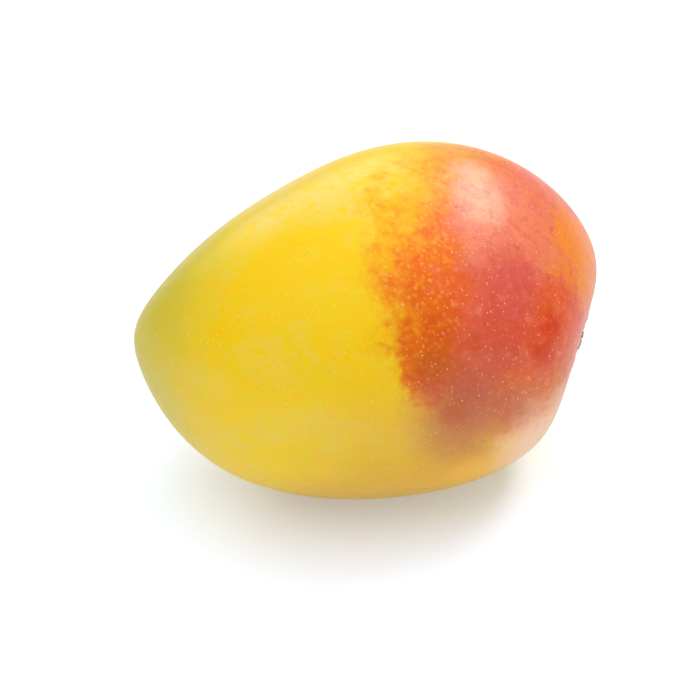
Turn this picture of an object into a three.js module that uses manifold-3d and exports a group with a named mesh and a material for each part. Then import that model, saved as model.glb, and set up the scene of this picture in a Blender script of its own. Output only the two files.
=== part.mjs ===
// A whole ripe mango, lying on one cheek.
//
// The fruit is one solid. It is egg-shaped with a lean: the back bulges towards the stem end, the stem end
// is broad and nearly flat, and the body narrows to a tip with a small beak over a slight hollow. The woody
// stub of the stalk is a second solid. It stands in a round pit in the flat stem end.
//
// The fruit is first described along its own axes, with +X towards the stem, +Y towards the back and Z from
// cheek to cheek. It is then turned to the way it comes to rest. In the finished part +X still points to the
// stem end, +Y is away from the belly, +Z is up, and the origin is on the flat spot that the fruit rests on,
// straight below its centre of mass. All lengths are millimetres.

import * as THREE from 'three';
import { mergeVertices } from 'three/addons/utils/BufferGeometryUtils.js';
import Module from 'manifold-3d';

// Body
const HALF_LENGTH = 60;
const HALF_WIDTH = 53.1;         // back to belly
const HALF_THICKNESS = 45.7;     // cheek to cheek
const STEM_END_TAPER = -0.03;    // how much the girth grows from the middle to the stem end
const BLUNTNESS = 0.05;          // how much fuller than an ellipse the two ends are
const BACK_BULGE = 8;            // how far the middle is pushed towards the back
const LEAN = 0.314;              // how far the back runs ahead of the belly, towards the stem

// Tip
const TIP_START = 0.25;          // where it starts to narrow, from 0 at the middle to 1 at the tip
const TIP_NARROWING = 0.16;
const TIP_DROP = 2.9;            // how far the tip bends towards the belly
const HOLLOW_DEPTH = 1.6;
const HOLLOW_SPREAD = 0.36;
const HOLLOW_PLACE = new THREE.Vector3(-0.72, -0.69, 0).normalize();
const BEAK_HEIGHT = 1.6;
const BEAK_SPREAD = 0.24;
const BEAK_PLACE = new THREE.Vector3(-0.985, -0.17, 0).normalize();

// Flat stem end, with a shallow dish in it
const STEM_END_REACH = 52.6;     // from the middle of the body to the flat end
const STEM_END_ROUNDING = 3.2;
const STEM_END_TILT = THREE.MathUtils.degToRad(-10);
const STEM_PLACE = THREE.MathUtils.degToRad(11.8);
const DISH_DEPTH = 0.8;
const DISH_RADIUS = 13;

// Pit and stub of the stalk
const PIT_DEPTH = 2.2;
const PIT_RADIUS = 5.6;
const STUB_RADIUS = 2.9;
const STUB_HEIGHT = 3.4;         // above the floor of the pit
const STUB_ROOT = 1.6;           // below the floor of the pit
const GAP = 0.3;
const ROUND_SIDES = 32;

// How it lies
const PITCH = THREE.MathUtils.degToRad(9.3);
const ROLL = THREE.MathUtils.degToRad(-16.5);
const FLAT_SPOT_DEPTH = 0.5;     // what resting presses flat
const BLOCK_SIZE = 60;

const BODY_DETAIL = 17;

const stemFacing = new THREE.Vector3(Math.cos(STEM_END_TILT), Math.sin(STEM_END_TILT), 0);

function bodyPoint(direction) {
  const along = direction.x;
  const tip = Math.max(0, (-along - TIP_START) / (1 - TIP_START));
  const girth = 1 + STEM_END_TAPER * along - TIP_NARROWING * tip ** 2;
  const y = HALF_WIDTH * direction.y * girth + BACK_BULGE * (1 - along ** 2) - TIP_DROP * tip ** 2;
  const x = HALF_LENGTH * (along + BLUNTNESS * (along ** 3 - along)) + LEAN * y;
  return new THREE.Vector3(x, y, HALF_THICKNESS * direction.z * girth);
}

// Holds back what would reach past the flat stem end, with a soft edge all round it.
function flattenStemEnd(point) {
  const past = (point.dot(stemFacing) - STEM_END_REACH) / STEM_END_ROUNDING;
  const held = STEM_END_ROUNDING * (past + Math.log1p(Math.exp(-past)));
  return point.addScaledVector(stemFacing, -held);
}

const stemCentre = flattenStemEnd(bodyPoint(new THREE.Vector3(Math.cos(STEM_PLACE), Math.sin(STEM_PLACE), 0)));

function dishStemEnd(point) {
  if (point.dot(stemFacing) < 0) return point;
  const offset = point.clone().sub(stemCentre).projectOnPlane(stemFacing);
  const depth = DISH_DEPTH * Math.exp(-((offset.length() / DISH_RADIUS) ** 2));
  return point.addScaledVector(stemFacing, -depth);
}

function swellAt(place, spread, direction) {
  return Math.exp(-direction.distanceToSquared(place) / spread ** 2);
}

function fruitPoint(direction) {
  const point = dishStemEnd(flattenStemEnd(bodyPoint(direction)));
  point.addScaledVector(HOLLOW_PLACE, -HOLLOW_DEPTH * swellAt(HOLLOW_PLACE, HOLLOW_SPREAD, direction));
  point.addScaledVector(BEAK_PLACE, BEAK_HEIGHT * swellAt(BEAK_PLACE, BEAK_SPREAD, direction));
  return point;
}

function fruitSkin() {
  const geometry = onlyPositions(new THREE.IcosahedronGeometry(1, BODY_DETAIL));
  const positions = geometry.attributes.position;
  const direction = new THREE.Vector3();
  for (let i = 0; i < positions.count; i += 1) {
    direction.fromBufferAttribute(positions, i).normalize();
    positions.setXYZ(i, ...fruitPoint(direction));
  }
  return geometry;
}

// Closed solids by Boolean operations

const wasm = await Module();
wasm.setup();

function onlyPositions(geometry) {
  geometry.deleteAttribute('normal');
  geometry.deleteAttribute('uv');
  return mergeVertices(geometry, 1e-4);
}

function toSolid(geometry) {
  const merged = onlyPositions(geometry);
  const vertProperties = new Float32Array(merged.attributes.position.array);
  const triVerts = new Uint32Array(merged.index.array);
  return new wasm.Manifold(new wasm.Mesh({ numProp: 3, vertProperties, triVerts }));
}

function toGeometry(solid) {
  const { vertProperties, triVerts } = solid.getMesh();
  const geometry = new THREE.BufferGeometry();
  geometry.setAttribute('position', new THREE.BufferAttribute(vertProperties, 3));
  geometry.setIndex(new THREE.BufferAttribute(triVerts, 1));
  return geometry;
}

function centreOfMass(geometry) {
  const positions = geometry.attributes.position;
  const corners = geometry.index.array;
  const centre = new THREE.Vector3();
  let volume = 0;
  for (let i = 0; i < corners.length; i += 3) {
    const [a, b, c] = [0, 1, 2].map((k) => new THREE.Vector3().fromBufferAttribute(positions, corners[i + k]));
    const wedge = a.dot(b.clone().cross(c)) / 6;
    centre.addScaledVector(a.add(b).add(c), wedge / 4);
    volume += wedge;
  }
  return centre.divideScalar(volume);
}

// The turn and the shift that take the fruit's own axes to the way it lies.
function restingPlace(geometry) {
  const up = new THREE.Vector3(-Math.sin(PITCH), -Math.sin(ROLL), 1).normalize();
  const ahead = new THREE.Vector3(1, 0, 0).projectOnPlane(up).normalize();
  const turn = new THREE.Matrix4().makeBasis(ahead, up.clone().cross(ahead), up).transpose();
  const turned = geometry.clone().applyMatrix4(turn);
  turned.computeBoundingBox();
  const middle = centreOfMass(turned);
  const lowest = turned.boundingBox.min.z + FLAT_SPOT_DEPTH;
  return new THREE.Matrix4().makeTranslation(-middle.x, -middle.y, -lowest).multiply(turn);
}

// A lathed shape stands on the pit's floor, with its axis square to the flat stem end.
function standInPit(geometry) {
  const lift = new THREE.Quaternion().setFromUnitVectors(new THREE.Vector3(0, 1, 0), stemFacing);
  const floor = stemCentre.clone().addScaledVector(stemFacing, -DISH_DEPTH - PIT_DEPTH);
  const place = new THREE.Matrix4().compose(floor, lift, new THREE.Vector3(1, 1, 1));
  return geometry.applyMatrix4(place);
}

function lathe(profile) {
  return new THREE.LatheGeometry(profile.map(([radius, height]) => new THREE.Vector2(radius, height)), ROUND_SIDES);
}

// The pit is a bowl round a straight socket for the stub's root.
function pitTool() {
  const socket = STUB_RADIUS + GAP;
  return standInPit(lathe([
    [0, -STUB_ROOT],
    [socket, -STUB_ROOT],
    [socket, 0],
    [socket + 0.4 * (PIT_RADIUS - socket), 0.15 * PIT_DEPTH],
    [socket + 0.75 * (PIT_RADIUS - socket), 0.5 * PIT_DEPTH],
    [PIT_RADIUS, PIT_DEPTH],
    [PIT_RADIUS + 0.3 * PIT_DEPTH, 2 * PIT_DEPTH],
    [0, 2 * PIT_DEPTH],
  ]));
}

function stubGeometry() {
  return standInPit(lathe([
    [0, -STUB_ROOT + GAP],
    [STUB_RADIUS, -STUB_ROOT + GAP],
    [0.94 * STUB_RADIUS, 0.3 * STUB_HEIGHT],
    [STUB_RADIUS, 0.75 * STUB_HEIGHT],
    [0.9 * STUB_RADIUS, 0.95 * STUB_HEIGHT],
    [0.5 * STUB_RADIUS, STUB_HEIGHT],
    [0, 0.96 * STUB_HEIGHT],
  ]));
}

function fruitGeometry(skin, resting) {
  const groundHeight = new THREE.Matrix4().makeTranslation(0, 0, -BLOCK_SIZE / 2);
  const ground = new THREE.BoxGeometry(BLOCK_SIZE, BLOCK_SIZE, BLOCK_SIZE).applyMatrix4(groundHeight);
  const pit = pitTool().applyMatrix4(resting);
  const whole = toSolid(skin.clone().applyMatrix4(resting));
  return toGeometry(whole.subtract(toSolid(pit)).subtract(toSolid(ground)));
}

function namedMesh(name, geometry, color, roughness) {
  const mesh = new THREE.Mesh(geometry, new THREE.MeshStandardMaterial({ color, roughness, metalness: 0 }));
  mesh.name = name;
  return mesh;
}

const skin = fruitSkin();
const resting = restingPlace(skin);
const mango = new THREE.Group();
mango.add(namedMesh('fruit', fruitGeometry(skin, resting), 0xe8813a, 0.42));
mango.add(namedMesh('stem_stub', stubGeometry().applyMatrix4(resting), 0x7d6a52, 0.85));

export default mango;
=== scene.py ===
# %% [markdown]
# # A mango on a pale table
#
# A ripe mango is a lesson in two things: a form that no lathe can turn, and a skin whose colour is laid on
# in soft layers. The fruit is made from one fine sphere whose points are moved by a short formula, and the
# skin is one material built up from a yellow ground, an orange band, a red blush and thousands of pale dots.
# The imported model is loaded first. It fixes where everything is, and every piece here is fitted to it.

# %% Load the frame
import math

import bmesh
import bpy
from mathutils import Matrix, Quaternion, Vector, noise


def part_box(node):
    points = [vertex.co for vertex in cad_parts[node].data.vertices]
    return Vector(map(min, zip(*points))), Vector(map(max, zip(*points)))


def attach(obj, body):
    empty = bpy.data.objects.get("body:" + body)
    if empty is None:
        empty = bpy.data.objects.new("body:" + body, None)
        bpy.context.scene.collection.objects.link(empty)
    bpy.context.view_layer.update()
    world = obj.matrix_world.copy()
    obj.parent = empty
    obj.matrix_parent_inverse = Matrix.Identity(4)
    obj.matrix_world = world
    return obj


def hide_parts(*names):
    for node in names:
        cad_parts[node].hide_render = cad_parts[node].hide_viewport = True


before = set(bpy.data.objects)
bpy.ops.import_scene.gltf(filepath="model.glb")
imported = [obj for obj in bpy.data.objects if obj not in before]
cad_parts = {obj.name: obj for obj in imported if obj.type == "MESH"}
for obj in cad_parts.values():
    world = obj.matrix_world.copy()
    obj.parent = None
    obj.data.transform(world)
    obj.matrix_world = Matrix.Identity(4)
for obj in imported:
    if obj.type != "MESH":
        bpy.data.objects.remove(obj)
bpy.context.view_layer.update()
MM = 0.001

# %% [markdown]
# ## The camera
#
# The camera looks down at about 35 degrees through a long lens, which keeps the fruit's proportions true. It
# is placed by its direction from the fruit's centre of mass and then slid sideways and down a little, so
# that the fruit stands right of the middle of the picture and above it.

# %% Camera
CENTRE_OF_MASS = Vector((0.0, 0.0, 44.9 * MM))
CAMERA_AZIMUTH = math.radians(4.38)
CAMERA_ELEVATION = math.radians(34.72)
CAMERA_DISTANCE = 696.9 * MM
CAMERA_SLIDE = (-10.6 * MM, -5.9 * MM)
CAMERA_LENS = 135


def add_camera():
    data = bpy.data.cameras.new("camera")
    data.lens = CAMERA_LENS
    data.clip_start = 0.05
    data.clip_end = 20
    camera = bpy.data.objects.new("camera", data)
    bpy.context.collection.objects.link(camera)
    towards_camera = Vector(
        (
            math.sin(CAMERA_AZIMUTH) * math.cos(CAMERA_ELEVATION),
            -math.cos(CAMERA_AZIMUTH) * math.cos(CAMERA_ELEVATION),
            math.sin(CAMERA_ELEVATION),
        )
    )
    camera.rotation_mode = "QUATERNION"
    camera.rotation_quaternion = (-towards_camera).to_track_quat("-Z", "Y")
    right = camera.rotation_quaternion @ Vector((1, 0, 0))
    above = camera.rotation_quaternion @ Vector((0, 1, 0))
    camera.location = CENTRE_OF_MASS + CAMERA_DISTANCE * towards_camera
    camera.location += CAMERA_SLIDE[0] * right + CAMERA_SLIDE[1] * above
    bpy.context.scene.camera = camera
    return camera


camera = add_camera()
print("camera at mm:", [round(v / MM, 1) for v in camera.location])

# %% [markdown]
# ## The form of the fruit
#
# Seen from the side a mango is an egg that leans: the back runs ahead of the belly towards the stalk. The
# stem end is broad and nearly flat, the other end narrows to a tip that droops to a small beak. A sphere
# has a point for every direction, so each point is sent to the fruit's surface by its direction alone. The
# fruit is described along its own axes, +X to the stem and +Y to the back, and is then turned to lie down.

# %% Sizes of the fruit
HALF_LENGTH = 60 * MM
HALF_WIDTH = 53.1 * MM
HALF_THICKNESS = 45.7 * MM
STEM_END_TAPER = -0.03
BLUNTNESS = 0.05
BACK_BULGE = 8 * MM
LEAN = 0.314

TIP_START = 0.25
TIP_NARROWING = 0.16
TIP_DROP = 2.9 * MM
HOLLOW_DEPTH = 1.6 * MM
HOLLOW_SPREAD = 0.36
HOLLOW_PLACE = Vector((-0.72, -0.69, 0)).normalized()
BEAK_HEIGHT = 1.6 * MM
BEAK_SPREAD = 0.24
BEAK_PLACE = Vector((-0.985, -0.17, 0)).normalized()

STEM_END_REACH = 52.6 * MM
STEM_END_ROUNDING = 3.2 * MM
STEM_END_TILT = math.radians(-10)
STEM_PLACE = math.radians(11.8)
DISH_DEPTH = 0.8 * MM
DISH_RADIUS = 13 * MM
PIT_DEPTH = 2.2 * MM
PIT_RADIUS = 4.6 * MM

PITCH = math.radians(9.3)
ROLL = math.radians(-16.5)

stem_facing = Vector((math.cos(STEM_END_TILT), math.sin(STEM_END_TILT), 0))
stem_direction = Vector((math.cos(STEM_PLACE), math.sin(STEM_PLACE), 0))


def body_point(direction):
    along = direction.x
    tip = max(0, (-along - TIP_START) / (1 - TIP_START))
    girth = 1 + STEM_END_TAPER * along - TIP_NARROWING * tip**2
    y = HALF_WIDTH * direction.y * girth + BACK_BULGE * (1 - along**2) - TIP_DROP * tip**2
    x = HALF_LENGTH * (along + BLUNTNESS * (along**3 - along)) + LEAN * y
    return Vector((x, y, HALF_THICKNESS * direction.z * girth))


def flatten_stem_end(point):
    past = (point.dot(stem_facing) - STEM_END_REACH) / STEM_END_ROUNDING
    held = STEM_END_ROUNDING * (past + math.log1p(math.exp(-past)))
    return point - held * stem_facing


def swell_at(place, spread, direction):
    return math.exp(-((direction - place).length / spread) ** 2)


stem_centre = flatten_stem_end(body_point(stem_direction))
print("stem end on the fruit's own axes, in mm:", [round(v / MM, 1) for v in stem_centre])

# %% [markdown]
# The stalk leaves a round pit in a shallow dish. Fine folds run out of the pit like the gathers round a
# button, so the depth there also swings a little with the angle round the stalk.

# %% Stem end and the whole surface
FOLD_COUNT = 7
FOLD_DEPTH = 0.4 * MM
FOLD_RADIUS = 6.5 * MM
FOLD_WIDTH = 2.6 * MM
FOLD_BUNCHING = 1.2


def stem_end_depth(point):
    if point.dot(stem_facing) < 0:
        return 0.0
    offset = point - stem_centre
    offset -= offset.dot(stem_facing) * stem_facing
    radius = offset.length
    angle = math.atan2(offset.z, offset.y)
    fold = math.cos(FOLD_COUNT * angle + FOLD_BUNCHING * math.sin(2 * angle))
    depth = DISH_DEPTH * math.exp(-((radius / DISH_RADIUS) ** 2))
    depth += PIT_DEPTH * math.exp(-((radius / PIT_RADIUS) ** 4))
    return depth + FOLD_DEPTH * fold * math.exp(-(((radius - FOLD_RADIUS) / FOLD_WIDTH) ** 2))


def fruit_point(direction):
    point = flatten_stem_end(body_point(direction))
    point -= stem_end_depth(point) * stem_facing
    point -= HOLLOW_DEPTH * swell_at(HOLLOW_PLACE, HOLLOW_SPREAD, direction) * HOLLOW_PLACE
    point += BEAK_HEIGHT * swell_at(BEAK_PLACE, BEAK_SPREAD, direction) * BEAK_PLACE
    return point


def resting_turn():
    up = Vector((-math.sin(PITCH), -math.sin(ROLL), 1)).normalized()
    ahead = (Vector((1, 0, 0)) - up.x * up).normalized()
    return Matrix((ahead, up.cross(ahead), up))


turn = resting_turn()
print("the fruit's own length points to", [round(v, 3) for v in turn @ Vector((1, 0, 0))])

# %% [markdown]
# The sphere is an icosphere, whose triangles are all nearly alike, so no pole shows. Its faces round the
# stalk are divided again, because the pit and its folds are much finer than the rest. After the points are
# sent to the surface, slow noise moves them by a fraction of a millimetre, as no fruit is a perfect curve,
# and what would sink below the table is pressed flat: the small spot on which the fruit rests.

# %% Fruit mesh
SPHERE_DIVISIONS = 7
FINE_ANGLES = (math.radians(17), math.radians(10))
UNEVENNESS = 0.3 * MM
UNEVEN_WAVE = 26 * MM
UNEVEN_START = Vector((3, 7, 1))


def finer_round_stem(mesh):
    for reach in FINE_ANGLES:
        near = [e for e in mesh.edges if all(v.co.angle(stem_direction) < reach for v in e.verts)]
        bmesh.ops.subdivide_edges(mesh, edges=near, cuts=1, use_grid_fill=True)
        bmesh.ops.triangulate(mesh, faces=[f for f in mesh.faces if len(f.verts) > 3])


def box_of(mesh):
    low = Vector([min(v.co[k] for v in mesh.verts) for k in range(3)])
    high = Vector([max(v.co[k] for v in mesh.verts) for k in range(3)])
    return low, high


def new_object(name, mesh, smooth=True):
    data = bpy.data.meshes.new(name)
    mesh.to_mesh(data)
    mesh.free()
    piece = bpy.data.objects.new(name, data)
    bpy.context.collection.objects.link(piece)
    if smooth:
        data.shade_smooth()
    return piece


def make_fruit():
    mesh = bmesh.new()
    bmesh.ops.create_icosphere(mesh, subdivisions=SPHERE_DIVISIONS, radius=1)
    finer_round_stem(mesh)
    for vert in mesh.verts:
        vert.co = turn @ fruit_point(vert.co.normalized())
    low, high = box_of(mesh)
    cad_low, cad_high = (Vector(corner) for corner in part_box("fruit"))
    shift = (cad_low + cad_high - low - high) / 2
    shift.z = cad_high.z - high.z
    bmesh.ops.translate(mesh, verts=mesh.verts, vec=shift)
    mesh.normal_update()
    uneven = [UNEVENNESS * noise.noise(v.co / UNEVEN_WAVE + UNEVEN_START) for v in mesh.verts]
    for vert, height in zip(mesh.verts, uneven):
        vert.co += height * vert.normal
        vert.co.z = max(0, vert.co.z)
    print("fruit mesh:", len(mesh.faces), "triangles, shifted by mm", [round(v / MM, 2) for v in shift])
    return new_object("mango_fruit", mesh), shift


fruit, shift = make_fruit()
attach(fruit, "root")
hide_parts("fruit")
stem_spot = turn @ stem_centre + shift
stem_axis = turn @ stem_facing
print("stalk at mm", [round(v / MM, 1) for v in stem_spot])

# %% [markdown]
# ## The stalk
#
# A picked mango keeps a short stub of its stalk, brown, dry and fibrous, broken off rough at the top. It
# starts as a circle extruded upwards ring by ring. Each ring has its own width, ribs run up it, and the
# points of the top are lifted unevenly, as torn fibres stand. A ring is a height in millimetres and a width
# as a share of the stalk's radius. The last three rings turn inwards and close the top.

# %% Stalk sizes
STALK_SIDES = 48
STALK_RIBS = 9
STALK_RIB_DEPTH = 0.07
STALK_RIB_BUNCHING = 0.9
STALK_RINGS = ((0.0, 1.3), (0.5, 1.08), (1.0, 0.93), (1.7, 0.86), (2.3, 0.88), (2.8, 0.95), (3.1, 0.9))
STALK_TOP_RINGS = ((2.95, 0.62), (2.7, 0.34), (2.8, 0.14))
STALK_RADIUS = 2.75 * MM
STALK_FOOT = 1.4
STALK_ROOT = 0.35 * MM
TORN_FROM = 2.5 * MM
TORN_HEIGHT = 0.55 * MM
TORN_WAVE = 0.9 * MM
TORN_START = Vector((5, 2, 8))


def stalk_ring(mesh, edges, height, width):
    out = bmesh.ops.extrude_edge_only(mesh, edges=edges)["geom"]
    verts = [v for v in out if isinstance(v, bmesh.types.BMVert)]
    for vert in verts:
        angle = math.atan2(vert.co.y, vert.co.x)
        rib_angle = STALK_RIBS * angle + STALK_RIB_BUNCHING * math.sin(3 * angle)
        rib = 1 + STALK_RIB_DEPTH * math.cos(rib_angle)
        vert.co = Vector((math.cos(angle), math.sin(angle), 0)) * STALK_RADIUS * width * rib
        vert.co.z = height * MM
    return [e for e in out if isinstance(e, bmesh.types.BMEdge)]


print("stalk:", len(STALK_RINGS + STALK_TOP_RINGS), "rings of", STALK_SIDES, "points")

# %% [markdown]
# The stalk is built upright at the origin, where a height is simply z, and only then stood in the pit. Its
# foot goes a little below the pit's floor, so that no gap shows under it.

# %% Stalk mesh
def tear_top(mesh):
    for vert in mesh.verts:
        if vert.co.z > TORN_FROM:
            vert.co.z += TORN_HEIGHT * noise.noise(vert.co / TORN_WAVE + TORN_START)


def make_stalk():
    mesh = bmesh.new()
    foot_radius = STALK_RADIUS * STALK_FOOT
    bmesh.ops.create_circle(mesh, segments=STALK_SIDES, radius=foot_radius, cap_ends=True)
    bmesh.ops.reverse_faces(mesh, faces=mesh.faces)
    edges = mesh.edges[:]
    for height, width in STALK_RINGS + STALK_TOP_RINGS:
        edges = stalk_ring(mesh, edges, height, width)
    bmesh.ops.contextual_create(mesh, geom=edges)
    bmesh.ops.triangulate(mesh, faces=[f for f in mesh.faces if len(f.verts) > 4])
    tear_top(mesh)
    bmesh.ops.recalc_face_normals(mesh, faces=mesh.faces)
    stand = stem_axis.to_track_quat("Z", "Y").to_matrix()
    foot_place = stem_spot - (DISH_DEPTH + PIT_DEPTH + STALK_ROOT) * stem_axis
    bmesh.ops.transform(mesh, matrix=Matrix.Translation(foot_place) @ stand.to_4x4(), verts=mesh.verts)
    print("stalk mesh:", len(mesh.faces), "faces")
    return new_object("mango_stalk", mesh)


stalk = make_stalk()
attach(stalk, "root")
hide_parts("stem_stub")

# %% [markdown]
# ## Helpers for the materials
#
# A material is a graph of nodes. A few small helpers keep the graph readable: they add a node and fill its
# sockets, do arithmetic, lay a colour over another, let a value rise smoothly between two limits, and turn a
# written colour into the linear one that a socket takes.

# %% Node helpers
def add_node(tree, kind, inputs=None, **settings):
    made = tree.nodes.new("ShaderNode" + kind)
    for name, value in settings.items():
        setattr(made, name, value)
    for name, value in (inputs or {}).items():
        if isinstance(value, bpy.types.NodeSocket):
            tree.links.new(value, made.inputs[name])
        else:
            made.inputs[name].default_value = value
    return made


def maths(tree, operation, *values):
    return add_node(tree, "Math", dict(enumerate(values)), operation=operation).outputs[0]


def lay_over(tree, under, over, amount):
    inputs = {0: amount, 6: under, 7: over}
    return add_node(tree, "Mix", inputs, data_type="RGBA").outputs[2]


def rises(tree, value, low, high):
    inputs = {"Value": value, "From Min": low, "From Max": high}
    return add_node(tree, "MapRange", inputs, interpolation_type="SMOOTHSTEP").outputs[0]


def colour(text):
    channels = [int(text[k : k + 2], 16) / 255 for k in (0, 2, 4)]
    linear = [c / 12.92 if c <= 0.04045 else ((c + 0.055) / 1.055) ** 2.4 for c in channels]
    return (*linear, 1)


print("mid grey as a linear colour:", [round(v, 3) for v in colour("808080")])

# %% [markdown]
# Lengths inside the materials are in millimetres, because skin is thought of in millimetres, so the object's
# coordinates are scaled up first. Natural markings wander. A place on the skin is therefore read through a
# position that slow and quick noise have pushed about, and every band and patch drawn with it gets a ragged,
# feathered edge for nothing. A wander is the size of the noise and how far it pushes.

# %% Positions, grain and patches
def position_in_mm(tree):
    place = add_node(tree, "TexCoord").outputs["Object"]
    return add_node(tree, "Mapping", {"Vector": place, "Scale": (1000, 1000, 1000)}).outputs[0]


def grain(tree, position, size, detail=2.0, stretch=(1, 1, 1), start=(0, 0, 0)):
    inputs = {"Vector": position, "Scale": stretch, "Location": start}
    moved = add_node(tree, "Mapping", inputs).outputs[0]
    inputs = {"Vector": moved, "Scale": 1 / size, "Detail": detail, "Roughness": 0.55}
    return add_node(tree, "TexNoise", inputs)


def swing(tree, position, size, reach, detail, start):
    value = grain(tree, position, size, detail, start=start).outputs[0]
    return maths(tree, "MULTIPLY_ADD", value, reach, -reach / 2)


def wander(tree, position, size, reach):
    push = grain(tree, position, size, 3).outputs["Color"]
    centred = add_node(tree, "VectorMath", {0: push, 1: (0.5, 0.5, 0.5)}, operation="SUBTRACT").outputs[0]
    inputs = {0: centred, 1: (reach, reach, reach), 2: position}
    return add_node(tree, "VectorMath", inputs, operation="MULTIPLY_ADD").outputs[0]


def patch(tree, position, place, reach, edge):
    inputs = {0: position, 1: place}
    away = add_node(tree, "VectorMath", inputs, operation="DISTANCE").outputs["Value"]
    return rises(tree, away, reach + edge, reach - edge)


def lay_patches(tree, shade, position, patches, within=1.0):
    for tone, place, reach, edge, strength in patches:
        amount = maths(tree, "MULTIPLY", patch(tree, position, place, reach, edge), strength)
        shade = lay_over(tree, shade, colour(tone), maths(tree, "MULTIPLY", amount, within))
    return shade


print("helpers for markings:", [f.__name__ for f in (grain, swing, wander, patch, lay_patches)])

# %% [markdown]
# ## The ground of the skin
#
# Under everything the skin is yellow: golden in front and low down, with paler lemon clouds here and there,
# ochre towards the table, and a trace of green left at the tip. The lemon patches on the top of the fruit
# are partly the skin's own paler tone and partly a painted highlight, where the soft box behind on the left
# shines.
# Each tone is one soft patch laid over those before it, as a painter glazes: its tone, its place, reach and
# softness of edge in millimetres, and its strength. Quick noise with steep limits leaves small golden flecks
# between the clouds.

# %% Ground of the skin
GOLDEN = "F7C900"
LEMON = "EBCF58"
FLECK = "F1CD00"
CLOUD_SIZE = 13
FLECK_SIZE = 3.6
FLECKS_IN_CLOUDS = 0.45
CLOUD_LIMITS = (0.66, 0.84)
CLOUD_STRENGTH = 0.35
FLECK_LIMITS = (0.5, 0.6)
FLECK_STRENGTH = 0.85
# The lemon patches on top are partly the skin's paler tone and partly a painted highlight.
CLOUD_AND_HIGHLIGHT_PATCHES = (
    ("E6D22C", (-44, 0, 70), 22, 14, 0.7),
    (LEMON, (-30, -4, 86), 13, 7, 0.9),
    (LEMON, (-6, -5, 91), 15, 6, 0.95),
)
LOW_PATCHES = (
    ("D69A0C", (10, -30, -18), 52, 16, 0.7),
    ("E2A21C", (8, -46, 36), 16, 18, 0.5),
    ("D28A1C", (26, -42, 32), 9, 10, 0.8),
    ("E2B41C", (26, -36, 20), 8, 6, 0.6),
    ("F8B20C", (26, -36, 24), 9, 7, 0.65),
    ("E2C832", (0, 30, -8), 58, 16, 0.5),
    ("BDB83C", (-72, -8, 46), 38, 16, 0.6),
)


def skin_ground(tree, position, wandering):
    clouds = grain(tree, position, CLOUD_SIZE, 3, stretch=(0.7, 1, 1), start=(4, 0, 0)).outputs[0]
    flecks = grain(tree, position, FLECK_SIZE, 3, stretch=(0.75, 1, 1)).outputs[0]
    lemon = rises(tree, maths(tree, "MULTIPLY_ADD", flecks, FLECKS_IN_CLOUDS, clouds), *CLOUD_LIMITS)
    amount = maths(tree, "MULTIPLY", lemon, CLOUD_STRENGTH)
    shade = lay_over(tree, colour(GOLDEN), colour(LEMON), amount)
    # partly paler skin, partly a painted highlight on the top of the fruit
    shade = lay_patches(tree, shade, wandering, CLOUD_AND_HIGHLIGHT_PATCHES)
    amount = maths(tree, "MULTIPLY", rises(tree, flecks, *FLECK_LIMITS), FLECK_STRENGTH)
    shade = lay_over(tree, shade, colour(FLECK), amount)
    return lay_patches(tree, shade, wandering, LOW_PATCHES)


print("patches on the ground:", len(CLOUD_AND_HIGHLIGHT_PATCHES + LOW_PATCHES))

# %% [markdown]
# ## The blush
#
# A mango reddens where the sun reached it while it hung, so the blush is a cap round the sun's direction.
# How far a point lies inside the cap is one number, a depth in millimetres. No cap is a perfect circle, so
# each pull moves its edge out or, when negative, in: its place, reach, softness and how far it pulls.

# %% Depth of the blush
SUN = Vector((0.744, -0.264, 0.615)).normalized()
BLUSH_START = 59
BLUSH_PULLS = (
    ((18, -43, 59), 10, 10, 5),
    ((8, -44, 58), 8, 10, 4.5),
    ((6, -32, 78), 6, 7, 3),
    ((9, -9, 88), 10, 7, -5),
    ((-4, -24, 85), 6, 6, -4),
)


def blush_depth(tree, wandering):
    along = add_node(tree, "VectorMath", {0: wandering, 1: SUN}, operation="DOT_PRODUCT").outputs["Value"]
    for place, reach, edge, pull in BLUSH_PULLS:
        along = maths(tree, "MULTIPLY_ADD", patch(tree, wandering, place, reach, edge), pull, along)
    return maths(tree, "SUBTRACT", along, BLUSH_START)


print("the blush faces", [round(v, 2) for v in SUN])

# %% [markdown]
# The edge of the blush is a mottled orange band about ten millimetres wide, and inside it the skin is salmon
# to deep red. Four layers make it, each starting deeper than the last: gold, amber, flame and salmon. Noise
# of its own is added to the depth before each one, so that each edge is ragged in another way. A layer is
# its tone and patches, the noise's size, swing, detail and start, and the depths between which it comes in.

# %% Layers of the blush
AMBER_PATCHES = (
    ("E2A400", (9, 4, 91), 15, 8, 0.8),
    ("E46600", (12, -42, 66), 16, 10, 0.9),
)
FLAME_PATCHES = (
    ("E58404", (15, 2, 90), 12, 8, 0.85),
    ("D85600", (13, -42, 62), 16, 9, 0.95),
    ("E09848", (22, 22, 88), 10, 7, 0.8),
)
BLUSH_LAYERS = (
    ("F5BC00", (), 4, 9, 3, (0, 0, 0), -8, 0),
    ("F29600", AMBER_PATCHES, 2.6, 9, 2, (0, 0, 0), -5, 4),
    ("F06A08", FLAME_PATCHES, 3.2, 15, 2, (8, 3, 5), -1, 8),
    ("EC7A56", (), 2.6, 10, 4, (2, 6, 1), 6, 13),
)


def lay_blush(tree, shade, position, wandering, depth):
    amounts = []
    for tone, patches, size, reach, detail, start, low, high in BLUSH_LAYERS:
        tone = lay_patches(tree, colour(tone), wandering, patches)
        broken = swing(tree, position, size, reach, detail, start)
        amounts.append(rises(tree, maths(tree, "ADD", depth, broken), low, high))
        shade = lay_over(tree, shade, tone, amounts[-1])
    return shade, amounts


print("layers of the blush:", [layer[0] for layer in BLUSH_LAYERS])
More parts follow.
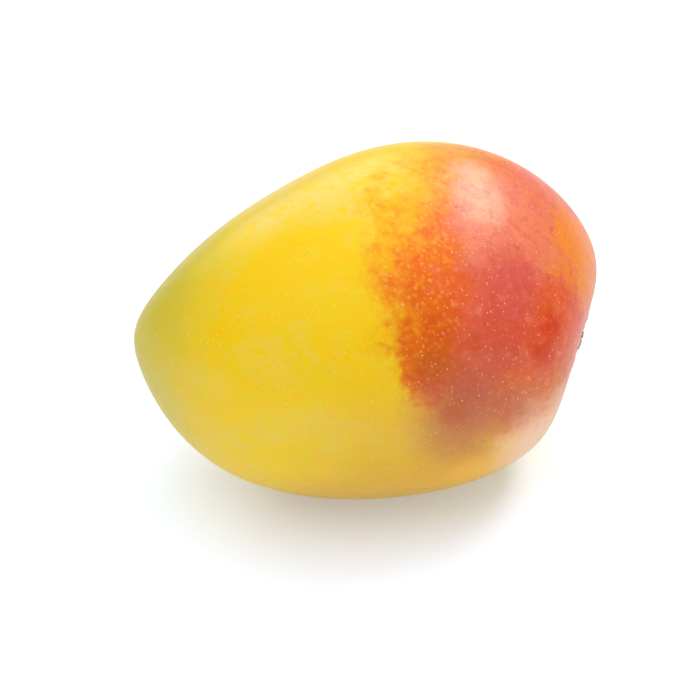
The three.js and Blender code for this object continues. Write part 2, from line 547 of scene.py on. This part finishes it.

# %% [markdown]
# No two parts of a blush are one red. Broad patches go on first, then smaller ones whose places wander less,
# among them two pale pink ones on top that are a painted highlight, then a streaky grain of four tones, and
# last a few dark blotches, an orange shoulder where the blush is thin, and a pale patch low down that is
# partly waxy bloom and partly a painted reflection of the white table. The shoulder is broken up by noise as
# well, or it would look like a sticker. A grain is its tone, its size, the limits between which its noise
# comes in, its strength and its stretch.

# %% Tones inside the blush
BLUSH_PATCHES = (
    ("D84A32", (33, -25, 66), 15, 9, 0.85),
    ("E85C18", (47, -15, 61), 9, 6, 0.85),
    ("DA7C08", (49, -23, 46), 6, 5, 0.9),
)
NEAR_AND_HIGHLIGHT_PATCHES = (
    ("EBAC50", (15, 20, 88), 6, 5, 0.8),
    ("EFA400", (7, -9, 90), 4, 5, 0.6),
    # The next two, pale pink on top of the fruit, are a painted highlight where the right soft box shines.
    ("E2AE8A", (22, 10, 88), 5, 4, 0.7),
    ("DEA67E", (25, -2, 87), 7.5, 2.5, 0.8),
    ("D06C42", (38, -33, 43), 7, 6, 0.85),
    ("C05C46", (25, -43, 48), 13, 10, 0.85),
    ("C25418", (21, -43, 48), 4, 4, 0.6),
    ("C85C08", (15, -41, 61), 4, 4, 0.8),
    ("EA6A10", (18, -17, 83), 4, 3, 0.75),
    ("EA6016", (20, -27, 76), 5, 4, 0.8),
    ("F0825E", (26, -17, 79), 4, 4, 0.6),
    ("DC5C56", (33, -19, 72), 7, 6, 0.6),
    ("E2541C", (44, -23, 58), 9, 5, 0.8),
)
BLOTCH_PATCHES = (
    ("DA3600", (44.6, -20.5, 60), 3.3, 2.2, 0.9),
    ("D43C00", (42.6, -25.3, 55.8), 3.3, 2.2, 0.9),
    ("CE4A16", (25, -34.5, 64), 2.2, 1.8, 0.7),
)
GRAIN_TONES = (
    ("F28463", 4.6, 0.5, 0.72, 0.45, (1, 1, 1)),
    ("DA5556", 5.6, 0.5, 0.72, 0.4, (1, 1, 1)),
    ("D64A1A", 3.0, 0.48, 0.76, 0.5, (1, 1, 1)),
    ("B4363A", 0.8, 0.5, 0.74, 0.3, (0.5, 1, 1)),
)
SHOULDER_PATCHES = (("F48A04", (58.5, 6, 70), 17, 4, 0.95),)
SHOULDER_GAPS = 0.3
SHOULDER_MOTTLE = (3.4, 4)
SHOULDER_LIMITS = (0.4, 0.62)
# A pale patch low down on the right: partly waxy bloom, partly a painted reflection of the white table at a
# grazing angle.
BLOOM_AND_REFLECTION_PATCHES = (
    ("FCC8A8", (48, -27, 25), 15, 9, 0.85),
    ("ECB084", (49, -21, 40), 5, 4, 0.7),
)
NEAR_WANDER = (3, 4)
SHOULDER_WANDER = (8, 22)
SHOULDER_RAGGED = (2.4, 12)


def blush_grain(tree, shade, position, amount):
    for tone, size, low, high, strength, stretch in GRAIN_TONES:
        seen = grain(tree, position, size, 3, stretch=stretch, start=(size, 3, 9)).outputs[0]
        seen = maths(tree, "MULTIPLY", rises(tree, seen, low, high), strength)
        shade = lay_over(tree, shade, colour(tone), maths(tree, "MULTIPLY", seen, amount))
    return shade


def lay_shoulder(tree, shade, position, wandering):
    mottle = rises(tree, grain(tree, position, *SHOULDER_MOTTLE).outputs[0], *SHOULDER_LIMITS)
    broken = maths(tree, "MULTIPLY_ADD", mottle, -SHOULDER_GAPS, 1)
    ragged = wander(tree, wander(tree, wandering, *SHOULDER_WANDER), *SHOULDER_RAGGED)
    return lay_patches(tree, shade, ragged, SHOULDER_PATCHES, broken)


def skin_blush(tree, ground, position, wandering):
    depth = blush_depth(tree, wandering)
    shade, (_, amber, _, salmon) = lay_blush(tree, ground, position, wandering, depth)
    shade = lay_patches(tree, shade, wandering, BLUSH_PATCHES, amber)
    near = wander(tree, position, *NEAR_WANDER)
    # these include the pale pink painted highlight on top of the fruit
    shade = lay_patches(tree, shade, near, NEAR_AND_HIGHLIGHT_PATCHES)
    shade = blush_grain(tree, shade, position, salmon)
    shade = lay_patches(tree, shade, near, BLOTCH_PATCHES)
    shade = lay_shoulder(tree, shade, position, wandering)
    # last the pale patch low down, partly bloom and partly a painted reflection of the table
    return lay_patches(tree, shade, wandering, BLOOM_AND_REFLECTION_PATCHES), depth, salmon


print("patches in the blush:", len(BLUSH_PATCHES + NEAR_AND_HIGHLIGHT_PATCHES + BLOTCH_PATCHES + BLOOM_AND_REFLECTION_PATCHES))

# %% [markdown]
# ## Dots
#
# The skin breathes through lenticels, tiny corky dots. On the blush they are crisp pale points two or three
# millimetres apart, and on the orange edge they are wider and melt into halos. A Voronoi texture scatters
# points in space. The skin cuts through the small balls round them, so the dots come in many sizes. A kind
# of dot is its spacing in space, its radius, the softness of its edge and where its pattern starts. The skin
# misses most of the balls, so on it the dots are further apart than that.

# %% Dots
HALO_DOTS = (1.8, 0.48, 0.36, (11, 5, 3))
PALE_DOTS = (1.4, 0.19, 0.09, (2, 9, 4))
DARK_DOTS = (3.0, 0.16, 0.1, (7, 1, 6))


def scatter(tree, position, spacing, radius, edge, start):
    moved = add_node(tree, "Mapping", {"Vector": position, "Location": start}).outputs[0]
    away = add_node(tree, "TexVoronoi", {"Vector": moved, "Scale": 1 / spacing}).outputs["Distance"]
    return rises(tree, away, (radius + edge) / spacing, (radius - edge) / spacing)


def apart_on_skin(dots):
    spacing, radius = dots[:2]
    return math.sqrt(spacing**3 / (2 * radius))


print("pale dots on the skin are about", round(apart_on_skin(PALE_DOTS), 1), "mm apart")

# %% [markdown]
# On the orange band the halos melt together with a fine mottle, a dark and a light one. Both fade out where
# the skin is salmon, and low down in front, where the band is browner and smoother. A mottle is its tone,
# its size, the limits between which its noise comes in, and its strength.

# %% Mottled band
MOTTLES = (
    ("DC560E", 2.6, 0.5, 0.72, 0.4),
    ("FFA224", 1.5, 0.5, 0.72, 0.4),
)
HALO_TONE = "FBB040"
SALMON_HALO_TONE = "FFB48A"
HALO_STRENGTH = 0.5
FADE_ON_SALMON = 0.85
FAINT_PLACE = (22, -41, 46)
FAINT_REACH = 26
FAINT_EDGE = 12
FADE_WHEN_FAINT = 0.75


def band_amount(tree, position, inside, salmon):
    band = maths(tree, "MULTIPLY", inside, maths(tree, "MULTIPLY_ADD", salmon, -FADE_ON_SALMON, 1))
    near = patch(tree, position, FAINT_PLACE, FAINT_REACH, FAINT_EDGE)
    faint = maths(tree, "MULTIPLY_ADD", near, -FADE_WHEN_FAINT, 1)
    return maths(tree, "MULTIPLY", band, faint)


def mottle_band(tree, shade, position, ragged, band, salmon):
    for tone, size, low, high, strength in MOTTLES:
        mottle = rises(tree, grain(tree, position, size, 3, start=(size, 8, 2)).outputs[0], low, high)
        amount = maths(tree, "MULTIPLY", maths(tree, "MULTIPLY", mottle, band), strength)
        shade = lay_over(tree, shade, colour(tone), amount)
    halos = scatter(tree, ragged, *HALO_DOTS)
    amount = maths(tree, "MULTIPLY", maths(tree, "MULTIPLY", halos, band), HALO_STRENGTH)
    tone = lay_over(tree, colour(HALO_TONE), colour(SALMON_HALO_TONE), salmon)
    return lay_over(tree, shade, tone, amount)


print("tones of the mottle:", [mottle[0] for mottle in MOTTLES])

# %% [markdown]
# The crisp dots come last. The same scatter is strong on the blush, pink or amber by turns, and weak and
# cream on the yellow. A few dark specks, where a lenticel has browned, are strewn between them.

# %% Pale dots and dark specks
PINK_DOT = "FFBE88"
AMBER_DOT = "FFAE3C"
CREAM_DOT = "FBE784"
DARK_SPECK = "7A2A20"
DOT_WANDER = (0.8, 1.1)
DOT_DEPTHS = (-6, 4)
AMBER_SIZE = 5
AMBER_LIMITS = (0.5, 0.6)
BLUSH_DOT_STRENGTH = 0.8
YELLOW_DOT_STRENGTH = 0.4
SPECK_STRENGTH = 0.25
SPECK_STRENGTH_ADDED = 0.35


def skin_dots(tree, shade, position, depth, salmon):
    ragged = wander(tree, position, *DOT_WANDER)
    inside = rises(tree, depth, *DOT_DEPTHS)
    band = band_amount(tree, position, inside, salmon)
    shade = mottle_band(tree, shade, position, ragged, band, salmon)
    points = scatter(tree, ragged, *PALE_DOTS)
    amber = rises(tree, grain(tree, position, AMBER_SIZE).outputs[0], *AMBER_LIMITS)
    tone = lay_over(tree, colour(PINK_DOT), colour(AMBER_DOT), amber)
    blushing = maths(tree, "MULTIPLY", inside, BLUSH_DOT_STRENGTH)
    shade = lay_over(tree, shade, tone, maths(tree, "MULTIPLY", points, blushing))
    outside = maths(tree, "MULTIPLY_ADD", inside, -YELLOW_DOT_STRENGTH, YELLOW_DOT_STRENGTH)
    shade = lay_over(tree, shade, colour(CREAM_DOT), maths(tree, "MULTIPLY", points, outside))
    specks = scatter(tree, position, *DARK_DOTS)
    strength = maths(tree, "MULTIPLY_ADD", inside, SPECK_STRENGTH_ADDED, SPECK_STRENGTH)
    amount = maths(tree, "MULTIPLY", specks, strength)
    return lay_over(tree, shade, colour(DARK_SPECK), amount), points


print("dark specks on the skin are about", round(apart_on_skin(DARK_DOTS), 1), "mm apart")

# %% [markdown]
# ## The finish of the skin
#
# The skin is smooth and waxy with a wide, soft shine. Rather than polish it evenly, the roughness and a very
# shallow bump follow the same slow and quick noise, so that a highlight breaks up at its edge as it does on
# real peel. A thin clear coat stands for the wax. Round the stalk the skin stays green and the pit is brown.

# %% Skin material
def new_material(name):
    material = bpy.data.materials.new(name)
    material.use_nodes = True
    material.node_tree.nodes.clear()
    return material, material.node_tree


def finish_material(tree, inputs):
    shader = add_node(tree, "BsdfPrincipled", inputs)
    add_node(tree, "OutputMaterial", {"Surface": shader.outputs[0]})
    return shader


SLOW_WANDER = (14, 16)
QUICK_WANDER = (3, 7)
PIT_WANDER = (1.5, 1.6)
FINE_SIZE = 0.9
MIDDLE_SIZE = 3.2
SLOW_SIZE = 10
FINE_BUMP = 0.3
MIDDLE_BUMP = 0.9
SLOW_BUMP = 1.8
DOT_BUMP = 0.3
BUMP_HEIGHT = 0.08 * MM
LOWEST_ROUGHNESS = 0.24
ROUGHNESS_ADDED = 0.3
STEM_MM = tuple(stem_spot / MM)
PIT_TONES = (
    ("D9C63A", STEM_MM, 7.5, 3.5, 0.6),
    ("8E7A2C", STEM_MM, 4.2, 1.4, 0.75),
    ("4E3B20", STEM_MM, 3.0, 0.8, 0.7),
)


def skin_colour(tree, position):
    wandering = wander(tree, wander(tree, position, *SLOW_WANDER), *QUICK_WANDER)
    shade = skin_ground(tree, position, wandering)
    shade, depth, salmon = skin_blush(tree, shade, position, wandering)
    shade, points = skin_dots(tree, shade, position, depth, salmon)
    return lay_patches(tree, shade, wander(tree, position, *PIT_WANDER), PIT_TONES), points


def skin_relief(tree, position, points):
    fine = grain(tree, position, FINE_SIZE, 3).outputs[0]
    middle = grain(tree, position, MIDDLE_SIZE, 3).outputs[0]
    slow = grain(tree, position, SLOW_SIZE, 2).outputs[0]
    height = maths(tree, "MULTIPLY_ADD", fine, FINE_BUMP, maths(tree, "MULTIPLY", slow, SLOW_BUMP))
    height = maths(tree, "MULTIPLY_ADD", middle, MIDDLE_BUMP, height)
    height = maths(tree, "MULTIPLY_ADD", points, DOT_BUMP, height)
    bump = add_node(tree, "Bump", {"Height": height, "Strength": 1.0, "Distance": BUMP_HEIGHT}).outputs[0]
    return bump, maths(tree, "MULTIPLY_ADD", middle, ROUGHNESS_ADDED, LOWEST_ROUGHNESS)


def skin_material():
    material, tree = new_material("mango_skin")
    position = position_in_mm(tree)
    shade, points = skin_colour(tree, position)
    bump, rough = skin_relief(tree, position, points)
    finish_material(
        tree,
        {
            "Base Color": shade,
            "Roughness": rough,
            "Normal": bump,
            "IOR": 1.37,
            "Coat Weight": 0.15,
            "Coat Roughness": 0.28,
        },
    )
    return material


fruit.data.materials.append(skin_material())
print("skin nodes:", len(fruit.data.materials[0].node_tree.nodes))

# %% [markdown]
# Dry wood needs no shine at all. Its fibres run along the stalk, so the noise is stretched that way, and the
# same noise gives the grooves their depth.

# %% Stalk material
WOOD_DARK = "715A44"
WOOD_PALE = "BCA886"
FIBRE_SIZE = 0.5
FIBRE_LIMITS = (0.35, 0.65)
GROOVE_DEPTH = 0.15 * MM


def stalk_material():
    material, tree = new_material("mango_stalk")
    position = position_in_mm(tree)
    fibre = grain(tree, position, FIBRE_SIZE, 4, stretch=(0.3, 1, 1)).outputs[0]
    shade = lay_over(tree, colour(WOOD_DARK), colour(WOOD_PALE), rises(tree, fibre, *FIBRE_LIMITS))
    inputs = {"Height": fibre, "Strength": 1.0, "Distance": GROOVE_DEPTH}
    bump = add_node(tree, "Bump", inputs).outputs[0]
    finish_material(tree, {"Base Color": shade, "Roughness": 0.85, "Normal": bump})
    return material


stalk.data.materials.append(stalk_material())
print("stalk nodes:", len(stalk.data.materials[0].node_tree.nodes))

# %% [markdown]
# ## The table, the lamps and the backdrop
#
# The fruit lies on a white sheet. A plain disc is enough, because nothing but the shadow shows on it. It is
# a little bluish, which cancels the warm light that the fruit throws into its own shadow, and it glows
# faintly, as a sheet lit from below does, so that the paper burns out to white before the fruit does. A
# white sheet would edge the whole fruit with its reflection, so the Light Path node dims it there by a
# quarter.

# %% Floor
TABLE_RADIUS = 0.7
WHITE = (0.79, 0.85, 0.96, 1)
TABLE_GLOW = 0.3
FAR_GLOW = 0.3
FAR_GLOW_LIMITS = (0.25, 0.6)
SEEN_IN_SHINE = 0.75


def table_glow(tree):
    place = add_node(tree, "TexCoord").outputs["Object"]
    away = add_node(tree, "VectorMath", {0: place}, operation="LENGTH").outputs["Value"]
    return maths(tree, "MULTIPLY_ADD", rises(tree, away, *FAR_GLOW_LIMITS), FAR_GLOW, TABLE_GLOW)


def make_floor():
    mesh = bmesh.new()
    bmesh.ops.create_circle(mesh, segments=96, radius=TABLE_RADIUS, cap_ends=True)
    floor = new_object("floor", mesh, smooth=False)
    material, tree = new_material("floor_white")
    inputs = {"Base Color": WHITE, "Roughness": 0.9, "Specular IOR Level": 0.0}
    inputs.update({"Emission Color": WHITE, "Emission Strength": table_glow(tree)})
    paper = add_node(tree, "BsdfPrincipled", inputs).outputs[0]
    dark = add_node(tree, "BsdfDiffuse", {"Color": (0, 0, 0, 1)}).outputs[0]
    shine = add_node(tree, "LightPath").outputs["Is Glossy Ray"]
    dimmed = maths(tree, "MULTIPLY", shine, 1 - SEEN_IN_SHINE)
    surface = add_node(tree, "MixShader", {0: dimmed, 1: paper, 2: dark}).outputs[0]
    add_node(tree, "OutputMaterial", {"Surface": surface})
    floor.data.materials.append(material)
    return floor


floor = make_floor()
print("table across, in m:", 2 * TABLE_RADIUS)

# %% [markdown]
# Two long soft boxes behind the fruit make the broad highlights on its shoulders, and a large one overhead
# fills the front. The overhead one is hidden from reflections, because a third bright patch would lie in the
# middle of the skin. Each lamp is placed by its direction from the fruit and turned to face it. Distances
# and sizes are in metres, and the spin is in degrees about the lamp's own beam.

# %% Lights
def add_softbox(name, direction, distance, size, watts, spin=0, in_gloss=True):
    data = bpy.data.lights.new(name, "AREA")
    data.shape = "RECTANGLE"
    data.size, data.size_y = size
    data.energy = watts
    lamp = bpy.data.objects.new(name, data)
    bpy.context.collection.objects.link(lamp)
    towards = Vector(direction).normalized()
    lamp.location = CENTRE_OF_MASS + distance * towards
    lamp.rotation_mode = "QUATERNION"
    lamp.rotation_quaternion = towards.to_track_quat("Z", "Y") @ Quaternion((0, 0, 1), math.radians(spin))
    lamp.visible_camera = False
    lamp.visible_glossy = in_gloss
    return lamp


lamps = (
    add_softbox("softbox_right", (0.46, 0.56, 0.69), 1.0, size=(0.95, 0.2), watts=4.8, spin=-35),
    add_softbox("softbox_left", (-0.36, 0.83, 0.42), 1.0, size=(0.9, 0.45), watts=1.8),
    add_softbox("overhead_fill", (-0.1, -0.3, 1.0), 1.2, size=(1.5, 1.5), watts=11.9, in_gloss=False),
)
print("lamps in watts:", {lamp.name: round(lamp.data.energy, 1) for lamp in lamps})

# %% [markdown]
# The backdrop should look white, light the fruit gently and hardly show in the shine. The Light Path node
# tells what kind of ray has reached it, so each kind gets its own strength.

# %% World
BACKDROP_SEEN = 1.0
BACKDROP_FILL = 0.39
BACKDROP_SHINE = 0.04


def add_backdrop(tree, strength):
    return add_node(tree, "Background", {"Color": (1, 1, 1, 1), "Strength": strength}).outputs[0]


def make_world():
    world = bpy.data.worlds.new("studio")
    bpy.context.scene.world = world
    world.use_nodes = True
    tree = world.node_tree
    tree.nodes.clear()
    path = add_node(tree, "LightPath")
    fill = add_backdrop(tree, BACKDROP_FILL)
    shine = add_backdrop(tree, BACKDROP_SHINE)
    seen = add_backdrop(tree, BACKDROP_SEEN)
    lit = add_node(tree, "MixShader", {0: path.outputs["Is Glossy Ray"], 1: fill, 2: shine}).outputs[0]
    shown = add_node(tree, "MixShader", {0: path.outputs["Is Camera Ray"], 1: lit, 2: seen}).outputs[0]
    add_node(tree, "OutputWorld", {"Surface": shown})
    return world


world = make_world()
bpy.context.scene.view_settings.view_transform = "Standard"
print("world nodes:", len(world.node_tree.nodes))
